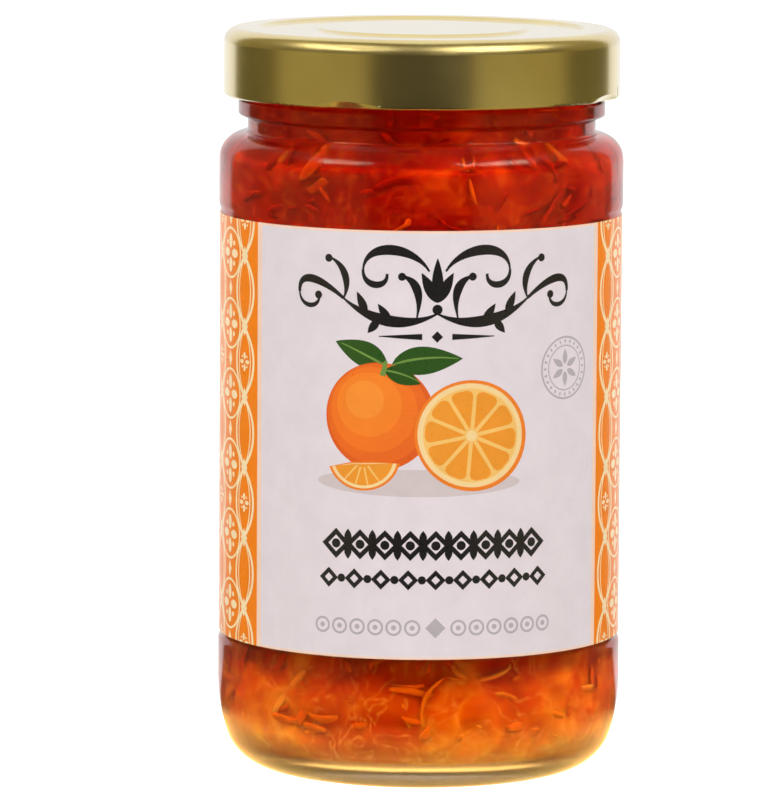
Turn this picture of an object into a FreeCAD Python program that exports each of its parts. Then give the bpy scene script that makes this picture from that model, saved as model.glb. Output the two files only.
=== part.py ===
"""A screw-top glass jar of orange marmalade: glass jar, marmalade, wrap-round paper label and gold lug cap.

The jar stands on its base at the origin with +Z up, and the middle of its label faces -Y.
Every sub-part is a PartDesign body whose sizes are bound to the sheet "Sizes", in millimetres and degrees.
"""

import FreeCAD, Part
import os
from math import atan2, cos, hypot, pi, sin, tan

import Sketcher

LUGS = 4  # a lug cap of this width turns on with a quarter turn, under four catches of the glass

# How a lug is pressed in: place from its middle as a share of its half width, share of the full reach there.
LUG_FORM = [(-1.03, 0), (-0.76, 0.14), (-0.4, 0.68), (0, 1), (0.4, 0.68), (0.76, 0.14), (1.03, 0)]

# The driving dimensions: alias, value, what it is.
DRIVING = [
    ("jar_height", 111.18, "height of the glass, base to sealing rim"),
    ("body_radius", 30.33, "glass body at its two bumper bands"),
    ("wall", 2.4, "thickness of the glass side wall, from the bands inwards"),
    ("panel_recess", 0.25, "how far the label panel lies inside the bumper bands"),
    ("panel_bottom", 19.9, "height where the label panel starts"),
    ("panel_ramp", 0.7, "height of the slope from band to panel"),
    ("ramp_radius", 1.6, "rounding at the ends of that slope"),
    ("upper_band", 10.25, "height of the upper bumper band, from its slope to the shoulder's corner"),
    ("heel_height", 9.7, "height of the corner where the heel starts to lean in"),
    ("heel_inset", 2.8, "how far the heel leans in, at the base plane"),
    ("heel_blend", 25.5, "long radius between wall and heel"),
    ("heel_radius", 7.5, "short radius between heel and base"),
    ("base_thickness", 3.9, "glass under the marmalade, at its lowest ring and over the push-up"),
    ("bearing_width", 1.2, "flat ring that the jar stands on"),
    ("push_up", 1.6, "height of the hollow under the base"),
    ("push_up_slope", 3.4, "width of the slope from bearing ring to push-up"),
    ("push_up_radius", 1.1, "rounding of that slope"),
    ("cavity_heel", 5.8, "rounding inside, between floor and wall"),
    ("floor_rounding", 2.0, "rounding where the floor rises over the push-up"),
    ("shoulder_rise", 0.5, "rise of the shoulder from its outer corner to the neck"),
    ("shoulder_radius", 3.9, "rounding of the shoulder's outer corner"),
    ("shoulder_glass", 1.5, "thickness of the glass at the shoulder"),
    ("cavity_shoulder", 1.6, "rounding inside, between wall and shoulder"),
    ("cavity_neck", 1.4, "rounding inside, between shoulder and neck"),
    ("neck_length", 2.15, "height of the neck between shoulder and bead"),
    ("neck_fillet", 0.5, "hollow rounding between shoulder and neck"),
    ("neck_wall", 1.9, "thickness of the glass at the neck"),
    ("mouth_radius", 24.2, "mouth of the jar, inside"),
    ("finish_wall", 2.9, "thickness of the glass between the catches"),
    ("rim_rounding", 0.9, "rounding of the sealing rim"),
    ("bead_depth", 0.4, "how far the transfer bead stands out from the finish"),
    ("bead_width", 2.0, "height of the bead"),
    ("bead_ramp", 0.5, "height of the slopes above and below the bead"),
    ("bead_rounding", 0.4, "rounding of the bead's edges"),
    ("catch_depth", 1.25, "how far the catches for the lugs stand out from the finish"),
    ("catch_width", 1.7, "height of a catch's section"),
    ("catch_rounding", 0.6, "rounding of a catch's crest"),
    ("catch_drop", 3.6, "how far a catch comes down, from its lead-in to its seat"),
    ("catch_turn", 66.0, "angle that one catch covers"),
    ("catch_clearance", 0.2, "gap between a seated lug and the catch above it"),
    ("headspace", 8.18, "height of the air between the marmalade and the rim"),
    ("label_margin", 0.6, "bare glass between the label and each bumper band"),
    ("label_thickness", 0.12, "thickness of the paper"),
    ("label_gap", 9.0, "bare glass between the label's ends, round the back"),
    ("label_turn", 2.6, "how far the label's middle is turned from -Y towards +X"),
    ("cap_sheet", 0.22, "thickness of the tinplate"),
    ("cap_height", 10.2, "height of the cap"),
    ("cap_corner", 2.1, "rounding between skirt and top"),
    ("cap_recess", 0.4, "how far the panel lies below the channel that takes the rim"),
    ("cap_ramp", 0.7, "width of the slopes pressed in the top"),
    ("skirt_clearance", 1.13, "gap between the skirt and the catches"),
    ("panel_clearance", 0.35, "gap between the mouth of the jar and the sunk panel of the cap"),
    ("bead_clearance", 0.3, "gap between the skirt's edge and the slope of the bead"),
    ("button_radius", 15.4, "raised safety button in the middle of the top"),
    ("button_rise", 0.35, "how far the button stands above the panel"),
    ("press_rounding", 0.5, "rounding of the forms pressed in the top"),
    ("curl_width", 1.1, "width of the rolled edge under the skirt"),
    ("curl_height", 1.6, "height of the rolled edge"),
    ("curl_rounding", 0.5, "rounding of the rolled edge"),
    ("lug_clearance", 0.4, "gap between a lug's tip and the finish"),
    ("lug_lift", 0.35, "how far the roll rises where it is pressed in"),
    ("lug_knee", 1.1, "height above the skirt's edge where a lug starts to lean in"),
    ("lug_width", 21.6, "angle that one lug covers"),
    ("lug_turn", 68.0, "angle of the first lug from +X"),
    ("lug_inset", 0.02, "how far a lug's sheet lies inside the skirt's, so that the two fuse"),
]

doc = FreeCAD.newDocument("marmalade_jar")
sizes = doc.addObject("Spreadsheet::Sheet", "Sizes")
for row, (alias, value, meaning) in enumerate(DRIVING, start=1):
    sizes.set(f"A{row}", alias)
    sizes.set(f"B{row}", str(value))
    sizes.set(f"C{row}", meaning)
    sizes.setAlias(f"B{row}", alias)
doc.recompute()
ALIASES = sorted((alias for alias, _, _ in DRIVING), key=len, reverse=True)


def bound(formula):
    """The formula with each alias written as a cell of the sheet, as setExpression wants it."""
    words = str(formula).replace("(", " ( ").replace(")", " ) ").split()
    return " ".join(f"Sizes.{word}" if word in ALIASES else word for word in words)


def size(formula):
    """The number that a formula of aliases gives now."""
    return float(sizes.evalExpression(bound(formula)))


def new_body(label):
    body = doc.addObject("PartDesign::Body", label)
    body.Label = label
    return body


def origin_feature(body, role):
    return next(f for f in body.Origin.OriginFeatures if f.Role == role)


def rounded(corners):
    """Lays out an outline's runs and arcs. A radius is cut down where the runs beside it are too short.

    Each corner gives its point, its arc's two tangent points, centre, radius and sense, and if it is uncut.
    """
    points = [(size(c[0]), size(c[1])) for c in corners]
    count = len(points)
    reach, radii, turns = [], [], []
    for i, corner in enumerate(corners):
        (ax, ay), (bx, by), (cx, cy) = points[i - 1], points[i], points[(i + 1) % count]
        turn = atan2(cy - by, cx - bx) - atan2(by - ay, bx - ax)
        turn = (turn + pi) % (2 * pi) - pi
        radius = size(corner[2]) if len(corner) > 2 else 0.0
        turns.append(turn)
        radii.append(radius)
        reach.append(radius * tan(abs(turn) / 2))
    share = [1.0] * count
    for i in range(count):
        j = (i + 1) % count
        run = hypot(points[j][0] - points[i][0], points[j][1] - points[i][1])
        if reach[i] + reach[j] > 0.98 * run:
            fit = 0.98 * run / (reach[i] + reach[j])
            share[i] = min(share[i], fit)
            share[j] = min(share[j], fit)
    places = []
    for i in range(count):
        (ax, ay), (bx, by), (cx, cy) = points[i - 1], points[i], points[(i + 1) % count]
        before = hypot(bx - ax, by - ay)
        after = hypot(cx - bx, cy - by)
        back = share[i] * reach[i]
        start = (bx - (bx - ax) / before * back, by - (by - ay) / before * back)
        end = (bx + (cx - bx) / after * back, by + (cy - by) / after * back)
        side = 1 if turns[i] > 0 else -1
        radius = share[i] * radii[i]
        lift = side * radius / before
        centre = (start[0] - (by - ay) * lift, start[1] + (bx - ax) * lift)
        places.append((points[i], start, end, centre, radius, side, share[i] == 1.0))
    return places


def outline(body, label, corners, turn="0"):
    """A closed sketch in a plane through the Z axis, turned about it by "turn" degrees from +X.

    A corner is (distance from the axis, height) or (distance, height, rounding), all formulas of aliases.
    Each corner's place and rounding is a constraint bound to the sheet.
    """
    sketch = body.newObject("Sketcher::SketchObject", label)
    sketch.AttachmentSupport = (origin_feature(body, "XZ_Plane"), [""])
    sketch.MapMode = "FlatFace"
    sketch.AttachmentOffset = FreeCAD.Placement(
        FreeCAD.Vector(0, 0, 0), FreeCAD.Rotation(FreeCAD.Vector(0, 1, 0), size(turn))
    )
    sketch.setExpression("AttachmentOffset.Rotation.Angle", bound(turn))
    places = rounded(corners)
    count = len(places)
    runs, arcs = [], {}
    for i in range(count):
        start, end = places[i][2], places[(i + 1) % count][1]
        line = Part.LineSegment(FreeCAD.Vector(*start, 0), FreeCAD.Vector(*end, 0))
        runs.append(sketch.addGeometry(line, False))
    for i, (point, start, end, centre, radius, side, whole) in enumerate(places):
        before, after = runs[i - 1], runs[i]
        if radius > 0:
            angles = [atan2(p[1] - centre[1], p[0] - centre[0]) for p in (start, end)]
            low, high = angles if side > 0 else reversed(angles)
            circle = Part.Circle(FreeCAD.Vector(*centre, 0), FreeCAD.Vector(0, 0, 1), radius)
            arc = sketch.addGeometry(Part.ArcOfCircle(circle, low, high), False)
            first, last = (1, 2) if side > 0 else (2, 1)
            sketch.addConstraint(Sketcher.Constraint("Tangent", before, 2, arc, first))
            sketch.addConstraint(Sketcher.Constraint("Tangent", arc, last, after, 1))
            rounding = sketch.addConstraint(Sketcher.Constraint("Radius", arc, radius))
            if whole:
                sketch.setExpression(f"Constraints[{rounding}]", bound(corners[i][2]))
            corner = sketch.addGeometry(Part.Point(FreeCAD.Vector(*point, 0)), True)
            sketch.addConstraint(Sketcher.Constraint("PointOnObject", corner, 1, before))
            sketch.addConstraint(Sketcher.Constraint("PointOnObject", corner, 1, after))
        else:
            corner = after
            sketch.addConstraint(Sketcher.Constraint("Coincident", before, 2, after, 1))
        for kind, axis, formula, value in (
            ("DistanceX", -2, corners[i][0], point[0]),
            ("DistanceY", -1, corners[i][1], point[1]),
        ):
            if abs(value) < 1e-9:
                sketch.addConstraint(Sketcher.Constraint("PointOnObject", corner, 1, axis))
            else:
                place = sketch.addConstraint(Sketcher.Constraint(kind, -1, 1, corner, 1, value))
                sketch.setExpression(f"Constraints[{place}]", bound(formula))
    doc.recompute()
    return sketch


def turned(body, sketch, label, feature="PartDesign::Revolution", angle="360"):
    """Turns a sketch about the Z axis, as a solid or as a groove."""
    made = body.newObject(feature, label)
    made.Profile = sketch
    made.ReferenceAxis = (sketch, ["V_Axis"])
    made.setExpression("Angle", bound(angle))
    body.Tip = made
    doc.recompute()
    return made


def lofted(body, sketches, label):
    """Joins a row of sketches with a smooth solid."""
    made = body.newObject("PartDesign::AdditiveLoft", label)
    made.Profile = sketches[0]
    made.Sections = sketches[1:]
    made.Ruled = False
    body.Tip = made
    doc.recompute()
    return made


def repeated(body, features, label, count):
    """Repeats features round the Z axis."""
    made = body.newObject("PartDesign::PolarPattern", label)
    made.Originals = features
    made.Axis = (origin_feature(body, "Z_Axis"), [""])
    made.Angle = 360
    made.Occurrences = count
    body.Tip = made
    doc.recompute()
    return made


# Radii and heights that follow from the driving dimensions. From the top down, each height hangs on the rim.
PANEL_RADIUS = "( body_radius - panel_recess )"
FINISH_RADIUS = "( mouth_radius + finish_wall )"
NECK_RADIUS = "( mouth_radius + neck_wall )"
CAP_RADIUS = f"( {FINISH_RADIUS} + catch_depth + skirt_clearance + cap_sheet )"
LUG_REACH = f"( {CAP_RADIUS} - curl_width - {FINISH_RADIUS} - lug_clearance )"
CAP_TOP = "( jar_height + cap_sheet )"
CAP_EDGE = f"( {CAP_TOP} - cap_height )"
BEAD_TOP = f"( {CAP_EDGE} - bead_clearance - bead_ramp )"
NECK_TOP = f"( {BEAD_TOP} - bead_width - bead_ramp )"
NECK_BOTTOM = f"( {NECK_TOP} - neck_length )"
SHOULDER = f"( {NECK_BOTTOM} - shoulder_rise )"
PANEL_TOP = f"( {SHOULDER} - upper_band - panel_ramp )"
FOOT = "( body_radius - heel_inset - heel_radius * 0.78 )"
HOLLOW = f"( {FOOT} - bearing_width - push_up_slope )"
FLOOR = "( push_up + base_thickness )"

# The cavity of the glass, from the middle of the floor to the neck. The marmalade has the same outline.
CAVITY = [
    ("0", FLOOR),
    (HOLLOW, FLOOR, "floor_rounding"),
    (f"{HOLLOW} + push_up_slope", "base_thickness", "floor_rounding"),
    ("body_radius - wall", "base_thickness", "cavity_heel"),
    ("body_radius - wall", f"{SHOULDER} - shoulder_glass", "cavity_shoulder"),
    ("mouth_radius", f"{NECK_BOTTOM} - shoulder_glass", "cavity_neck"),
]


def make_jar():
    """The glass: one turned section, with the four catches for the lugs added round its finish."""
    body = new_body("jar")
    bead = f"( {FINISH_RADIUS} + bead_depth )"
    outside = [
        (FINISH_RADIUS, "jar_height", "rim_rounding"),
        (FINISH_RADIUS, f"{BEAD_TOP} + bead_ramp", "bead_rounding"),
        (bead, BEAD_TOP, "bead_rounding"),
        (bead, f"{BEAD_TOP} - bead_width", "bead_rounding"),
        (NECK_RADIUS, NECK_TOP, "bead_rounding"),
        (NECK_RADIUS, NECK_BOTTOM, "neck_fillet"),
        ("body_radius", SHOULDER, "shoulder_radius"),
        ("body_radius", f"{PANEL_TOP} + panel_ramp", "ramp_radius"),
        (PANEL_RADIUS, PANEL_TOP, "ramp_radius"),
        (PANEL_RADIUS, "panel_bottom", "ramp_radius"),
        ("body_radius", "panel_bottom - panel_ramp", "ramp_radius"),
        ("body_radius", "heel_height", "heel_blend"),
        ("body_radius - heel_inset", "0", "heel_radius"),
        (f"{FOOT} - bearing_width", "0", "push_up_radius"),
        (HOLLOW, "push_up", "push_up_radius"),
        ("0", "push_up"),
    ]
    mouth = [("mouth_radius", "jar_height", "rim_rounding")]
    section = outline(body, "glass_section", CAVITY + mouth + outside)
    turned(body, section, "glass")
    add_catches(body)
    return body


def add_catches(body):
    """Four short slanted catches. Each comes down from its lead-in, runs level over a lug and fades out."""
    lug_top = f"( {CAP_EDGE} + curl_height + lug_lift )"
    seat = f"( {lug_top} + catch_clearance + catch_width / 2 )"
    root = f"( {FINISH_RADIUS} - 0.5 )"
    # Each step: share of the turn from lead-in to stop, of the full crest, and of the drop still to come.
    steps = [
        (0.00, 0.00, 1.00),
        (0.12, 0.80, 0.88),
        (0.30, 1.00, 0.66),
        (0.50, 1.00, 0.36),
        (0.70, 1.00, 0.10),
        (0.88, 0.85, 0.00),
        (1.00, 0.00, 0.00),
    ]
    sections = []
    for number, (along, height, drop) in enumerate(steps):
        crest = f"{root} + 0.3 + {height} * ( catch_depth + 0.2 )"
        middle = f"{seat} + {drop} * catch_drop"
        half = f"( 0.35 + 0.15 * {height} ) * catch_width"
        rounding = f"catch_rounding * ( 0.3 + 0.7 * {height} )"
        corners = [
            (root, f"{middle} - {half}"),
            (crest, f"{middle} - {half}", rounding),
            (crest, f"{middle} + {half}", rounding),
            (root, f"{middle} + {half}"),
        ]
        turn = f"lug_turn - lug_width * 0.6 + ( 1 - {along} ) * catch_turn"
        sections.append(outline(body, f"catch_section_{number}", corners, turn))
    catch = lofted(body, sections, "catch")
    repeated(body, [catch], "catches", LUGS)


def make_marmalade():
    """The marmalade fills the cavity up to its level, which the cap hides."""
    body = new_body("marmalade")
    level = "jar_height - headspace"
    section = outline(body, "fill_section", CAVITY + [("mouth_radius", level), ("0", level)])
    turned(body, section, "fill")
    return body


def make_label():
    """The paper label wraps the glass, and its two ends stop short of each other at the back."""
    body = new_body("label")
    gap = f"( label_gap / {PANEL_RADIUS} * 180 / 3.14159265 )"
    low = "panel_bottom + label_margin"
    high = f"{PANEL_TOP} - label_margin"
    corners = [
        (PANEL_RADIUS, low),
        (f"{PANEL_RADIUS} + label_thickness", low),
        (f"{PANEL_RADIUS} + label_thickness", high),
        (PANEL_RADIUS, high),
    ]
    section = outline(body, "paper_section", corners, f"90 + label_turn + {gap} / 2")
    turned(body, section, "paper", angle=f"360 - {gap}")
    return body


def rolled_edge(pressed, inset, skirt):
    """The rolled edge of the sheet, from the outside of the skirt round the roll to the inside of the skirt.

    "pressed" is the share of the lug's reach, "inset" thins the sheet on both sides, and "skirt" is the
    height where the two sides of the skirt end. The plain roll has none, as its section goes on from it.
    """
    sheet = f"( cap_sheet - 2 * {inset} )"
    outer = f"( {CAP_RADIUS} - {inset} )"
    lean = f"{pressed} * {LUG_REACH}"
    low = f"( {CAP_EDGE} + {inset} )"
    top = f"( {CAP_EDGE} + curl_height + {pressed} * lug_lift - {inset} )"
    inner = f"( {CAP_RADIUS} - curl_width - {lean} + {inset} )"
    tip = f"( {CAP_RADIUS} - cap_sheet - 0.25 - 0.8 * {lean} )"
    knee = f"{CAP_EDGE} + curl_rounding * 1.2 + {pressed} * ( lug_knee - curl_rounding * 1.2 )"
    fold = "curl_rounding - cap_sheet"
    corners = [
        (f"{outer} - {lean}", low, "curl_rounding"),
        (inner, low, "curl_rounding"),
        (inner, top, "curl_rounding"),
        (tip, top),
        (tip, f"{top} - {sheet}"),
        (f"{inner} + {sheet}", f"{top} - {sheet}", fold),
        (f"{inner} + {sheet}", f"{low} + {sheet}", fold),
        (f"{outer} - {lean} - {sheet}", f"{low} + {sheet}", fold),
    ]
    if skirt is None:
        return corners
    outside = [(outer, skirt), (outer, knee)]
    inside = [(f"{outer} - {sheet}", knee), (f"{outer} - {sheet}", skirt)]
    return outside + corners + inside


def make_cap():
    """The cap: one turned sheet with a rolled edge, in which four lugs are pressed.

    Its channel sits on the rim of the glass, and its panel is sunk into the mouth.
    """
    body = new_body("cap")
    panel = f"( {CAP_TOP} - cap_recess )"
    step = "( mouth_radius - panel_clearance )"
    button = f"( {panel} + button_rise )"
    under = "cap_sheet * 0.3"
    upper = [
        ("0", button),
        ("button_radius", button, "press_rounding"),
        ("button_radius + cap_ramp", panel, "press_rounding"),
        (step, panel, "press_rounding"),
        (f"{step} + cap_ramp", CAP_TOP, "press_rounding"),
        (CAP_RADIUS, CAP_TOP, "cap_corner"),
    ]
    lower = [
        (f"{CAP_RADIUS} - cap_sheet", f"{CAP_TOP} - cap_sheet", "cap_corner - cap_sheet"),
        (f"{step} + cap_ramp + {under}", f"{CAP_TOP} - cap_sheet", "press_rounding"),
        (f"{step} + {under}", f"{panel} - cap_sheet", "press_rounding"),
        (f"button_radius + cap_ramp - {under}", f"{panel} - cap_sheet", "press_rounding"),
        (f"button_radius - {under}", f"{button} - cap_sheet", "press_rounding"),
        ("0", f"{button} - cap_sheet"),
    ]
    section = outline(body, "sheet_section", upper + rolled_edge(0, 0, None) + lower)
    turned(body, section, "sheet")
    add_lugs(body)
    return body


def add_lugs(body):
    """Cuts a window in the rolled edge for each lug and fills it with the pressed form, eased in and out.

    The pressed form's sheet lies a hair inside the skirt's, so that no two faces coincide where they fuse.
    """
    window_top = f"( {CAP_EDGE} + curl_height + 0.3 )"
    window = [
        (f"{CAP_RADIUS} - curl_width - 0.5", f"{CAP_EDGE} - 0.5"),
        (f"{CAP_RADIUS} + 0.5", f"{CAP_EDGE} - 0.5"),
        (f"{CAP_RADIUS} + 0.5", window_top),
        (f"{CAP_RADIUS} - curl_width - 0.5", window_top),
    ]
    cut = outline(body, "lug_window_section", window, "lug_turn - lug_width / 2")
    windows = turned(body, cut, "lug_window", "PartDesign::Groove", "lug_width")
    sections = []
    for number, (along, pressed) in enumerate(LUG_FORM):
        corners = rolled_edge(pressed, "lug_inset", f"{window_top} + 0.3")
        turn = f"lug_turn + {along} * lug_width / 2"
        sections.append(outline(body, f"lug_section_{number}", corners, turn))
    lug = lofted(body, sections, "lug")
    repeated(body, [windows, lug], "lugs", LUGS)


def write_parts(bodies):
    """Checks every object of the document, then writes each body's solid to its own STEP file."""
    doc.recompute()
    failed = [o.Label for o in doc.Objects if set(o.State) & {"Invalid", "Error"}]
    if failed:
        raise RuntimeError(f"these objects failed: {failed}")
    os.makedirs("parts", exist_ok=True)
    for body in bodies:
        shape = body.Shape
        if shape.isNull() or not shape.isValid() or len(shape.Solids) != 1:
            raise RuntimeError(f"{body.Label} is not one valid solid")
        shape.exportStep(f"parts/{body.Label}.step")
        box = shape.optimalBoundingBox(True, False)
        extent = f"{box.XLength:.2f} x {box.YLength:.2f} x {box.ZLength:.2f} mm from z {box.ZMin:.2f}"
        print(f"{body.Label}: {shape.Volume / 1000:.2f} cm3, {len(shape.Faces)} faces, {extent}")


write_parts([make_jar(), make_marmalade(), make_label(), make_cap()])
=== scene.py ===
"""The dressed jar of orange marmalade: materials, print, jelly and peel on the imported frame."""

import random
from math import cos, hypot, pi, radians, sin, tan

import bmesh
import bpy
from mathutils import Matrix, Vector, geometry, noise


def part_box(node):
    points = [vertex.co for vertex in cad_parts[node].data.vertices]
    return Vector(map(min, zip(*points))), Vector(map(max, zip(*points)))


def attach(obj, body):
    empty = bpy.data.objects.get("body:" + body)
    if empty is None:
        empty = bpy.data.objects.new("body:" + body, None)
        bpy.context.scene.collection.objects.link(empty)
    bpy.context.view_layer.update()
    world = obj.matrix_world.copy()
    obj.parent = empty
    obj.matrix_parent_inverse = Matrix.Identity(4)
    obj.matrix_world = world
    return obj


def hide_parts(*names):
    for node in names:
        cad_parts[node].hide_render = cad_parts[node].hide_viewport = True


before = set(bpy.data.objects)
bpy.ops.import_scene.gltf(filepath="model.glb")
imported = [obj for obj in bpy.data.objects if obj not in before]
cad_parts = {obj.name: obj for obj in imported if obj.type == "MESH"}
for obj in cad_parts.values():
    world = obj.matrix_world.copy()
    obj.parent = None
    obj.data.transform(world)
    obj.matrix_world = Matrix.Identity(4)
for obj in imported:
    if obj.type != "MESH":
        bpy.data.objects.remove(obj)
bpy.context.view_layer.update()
MM = 0.001
SEED = 11

# Camera: the photograph's viewing angle.
CAMERA_PLACE = (0.0, -0.98334, 0.17888)
CAMERA_TILT = 82.828
CAMERA_ROLL = 0.3731
CAMERA_LENS = 296.06
CAMERA_SHIFT = -0.0381

# Studio: what metal and glass show of it, as brightness by the angle in degrees from straight behind the jar.
WALLS = [(0, 0.88), (41, 0.88), (45, 0.25), (84, 0.2), (96, 0.12), (180, 0.06)]
GROUND = [(0, 1.0), (41, 1.0), (45, 0.12), (84, 0.1), (96, 0.36), (146, 0.36), (154, 0.03), (180, 0.02)]
THROUGH = [(0, 1.0), (62, 1.0), (80, 0.12), (180, 0.04)]
DIM_BELOW = 0.5
DIM_TINT = (1.0, 0.86, 0.36)
AMBIENT = 0.42

# Floor: its own grey, the lift that makes it white to the camera, and a warm glowing patch round the jar's foot
# that the base shows, a painted reflection of the marmalade.
FLOOR_RADIUS = 6
FLOOR_GREY = 0.8
FLOOR_LIFT = 0.8
PAINTED_BASE_GLOW = (2.3, 1.45, 0.46)
NEAR_START = 0.04
NEAR_END = 0.056

# Lamps: watts, and for those in pairs the azimuth from the camera's side and the width.
LAMP_DISTANCE = 1.2
LAMP_AIM = 0.05
SOFTBOX_WATTS = 4.2
SOFTBOX_RISE = 42
SOFTBOX_HEIGHT = 0.3
SOFTBOXES = (("left", -52, 0.6), ("right", 50, 0.8))
GLOSS_WATTS = 30  # for each metre of width
FILL_WATTS = 2.8
RIM_WATTS = 4.0
RIM_TURN = 2.45


def make_camera():
    data = bpy.data.cameras.new("camera")
    data.lens = CAMERA_LENS
    data.shift_x = CAMERA_SHIFT
    camera = bpy.data.objects.new("camera", data)
    tilt = Matrix.Rotation(radians(CAMERA_TILT), 4, "X")
    roll = Matrix.Rotation(radians(CAMERA_ROLL), 4, "Z")
    camera.matrix_world = Matrix.Translation(CAMERA_PLACE) @ tilt @ roll
    bpy.context.collection.objects.link(camera)
    bpy.context.scene.camera = camera


# ---------------------------------------------------------------- nodes


def add(tree, kind, **values):
    """A node with its settings and sockets: Two_Words is the socket "Two Words", and i3 is socket 3."""
    made = tree.nodes.new(kind)
    for name, value in values.items():
        if hasattr(made, name):
            setattr(made, name, value)
            continue
        numbered = name[0] == "i" and name[1:].isdigit()
        socket = made.inputs[int(name[1:]) if numbered else name.replace("_", " ")]
        if isinstance(value, bpy.types.NodeSocket):
            tree.links.new(value, socket)
        else:
            socket.default_value = value
    return made


def math(tree, operation, a, b=0.0):
    return add(tree, "ShaderNodeMath", operation=operation, i0=a, i1=b).outputs[0]


def ramp(tree, factor, stops):
    """A colour ramp of (place, colour) stops."""
    made = tree.nodes.new("ShaderNodeValToRGB")
    elements = made.color_ramp.elements
    while len(elements) < len(stops):
        elements.new(0.5)
    for element, (place, colour) in zip(elements, stops):
        element.position = place
        element.color = colour if len(colour) == 4 else (*colour, 1)
    tree.links.new(factor, made.inputs[0])
    return made.outputs[0]


def mix(tree, factor, a, b, blend="MIX"):
    """Two colours mixed by a factor; each may be a value or a socket."""
    made = tree.nodes.new("ShaderNodeMix")
    made.data_type = "RGBA"
    made.blend_type = blend
    for socket, value in ((made.inputs[0], factor), (made.inputs[6], a), (made.inputs[7], b)):
        if isinstance(value, bpy.types.NodeSocket):
            tree.links.new(value, socket)
        elif isinstance(value, (int, float)):
            socket.default_value = value
        else:
            socket.default_value = value if len(value) == 4 else (*value, 1)
    return made.outputs[2]


def new_material(name, **values):
    """A material with one Principled node, its sockets set by name as in add."""
    made = bpy.data.materials.new(name)
    made.use_nodes = True
    tree = made.node_tree
    shader = tree.nodes["Principled BSDF"]
    for key, value in values.items():
        shader.inputs[key.replace("_", " ")].default_value = value
    return made, tree, shader


def srgb(red, green, blue):
    """A linear colour from 0-255 screen values."""
    linear = []
    for value in (red, green, blue):
        value /= 255
        linear.append(value / 12.92 if value <= 0.04045 else ((value + 0.055) / 1.055) ** 2.4)
    return (*linear, 1.0)


def object_place(tree):
    """The place on the piece, in metres."""
    return add(tree, "ShaderNodeTexCoord").outputs["Object"]


def noise_texture(tree, place, scale, detail, distortion=0.0):
    made = add(tree, "ShaderNodeTexNoise", Vector=place, Scale=scale, Detail=detail, Distortion=distortion)
    return made.outputs[0]


def scaled_by(tree, value, factor, base):
    """value * factor + base."""
    return math(tree, "ADD", math(tree, "MULTIPLY", value, factor), base)


def add_bump(tree, shader, height, strength, distance):
    bump = add(tree, "ShaderNodeBump", Strength=strength, Distance=distance, Height=height)
    tree.links.new(bump.outputs[0], shader.inputs["Normal"])


# ---------------------------------------------------------------- stage


def grey(value):
    return (value, value, value)


def studio_tint(value):
    """White where the studio is bright, and warm where it is dim."""
    return grey(value) if value > DIM_BELOW else tuple(value * part for part in DIM_TINT)


def studio_brightness(tree, vector, mirrored):
    """The studio's brightness towards a place: the mirrored stops on metal and glass, THROUGH behind glass."""
    parts = add(tree, "ShaderNodeSeparateXYZ", i0=vector)
    angle = math(tree, "ARCTAN2", parts.outputs[0], parts.outputs[1])
    share = math(tree, "DIVIDE", math(tree, "ABSOLUTE", angle), pi)
    shown = ramp(tree, share, [(a / 180, studio_tint(v)) for a, v in mirrored])
    through = ramp(tree, share, [(a / 180, grey(v)) for a, v in THROUGH])
    path = add(tree, "ShaderNodeLightPath")
    return mix(tree, path.outputs["Is Transmission Ray"], shown, through)


def seen_through(tree):
    """1 for camera rays, and 1 for rays that only metal or glass turned, so not for light going to the jelly."""
    path = add(tree, "ShaderNodeLightPath")
    turned = math(tree, "MAXIMUM", path.outputs["Is Glossy Ray"], path.outputs["Is Transmission Ray"])
    direct = math(tree, "LESS_THAN", path.outputs["Diffuse Depth"], 0.5)
    return path.outputs["Is Camera Ray"], math(tree, "MULTIPLY", turned, direct)


def make_world():
    """White to the camera, a studio in metal and glass, and an even light on the rest."""
    world = bpy.data.worlds.new("studio")
    bpy.context.scene.world = world
    world.use_nodes = True
    tree = world.node_tree
    background = tree.nodes["Background"]
    direction = add(tree, "ShaderNodeTexCoord").outputs["Generated"]
    camera, turned = seen_through(tree)
    ambient = mix(tree, turned, grey(AMBIENT), studio_brightness(tree, direction, WALLS))
    tree.links.new(mix(tree, camera, ambient, (1, 1, 1)), background.inputs["Color"])


def make_floor():
    """A pale floor that keeps the jar's shadow; metal and glass show the studio's ground in its place, and near
    the jar a warm glowing patch, a painted reflection of the marmalade in the base.
    """
    bpy.ops.mesh.primitive_circle_add(vertices=96, radius=FLOOR_RADIUS, fill_type="NGON")
    floor = bpy.context.object
    floor.name = "floor"
    material, tree, shader = new_material("floor", Roughness=1.0, Specular_IOR_Level=0)
    shader.inputs["Base Color"].default_value = (*grey(FLOOR_GREY), 1)
    camera, turned = seen_through(tree)
    lift = add(tree, "ShaderNodeEmission", Strength=math(tree, "MULTIPLY", camera, FLOOR_LIFT))
    lit = add(tree, "ShaderNodeAddShader", i0=shader.outputs[0], i1=lift.outputs[0])
    place = add(tree, "ShaderNodeNewGeometry").outputs["Position"]
    reach = add(tree, "ShaderNodeVectorMath", operation="LENGTH", i0=place).outputs["Value"]
    # Painted reflection: a warm glow near the jar, brighter than white, that the base glass shows in place of the
    # marmalade's colour.
    near = ramp(tree, reach, [(NEAR_START, grey(1)), (NEAR_END, grey(0))])
    seen = mix(tree, near, studio_brightness(tree, place, GROUND), PAINTED_BASE_GLOW)
    shown = add(tree, "ShaderNodeEmission", Color=seen)
    both = add(tree, "ShaderNodeMixShader", i0=turned, i1=lit.outputs[0], i2=shown.outputs[0])
    tree.links.new(both.outputs[0], tree.nodes["Material Output"].inputs["Surface"])
    floor.data.materials.append(material)


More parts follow.
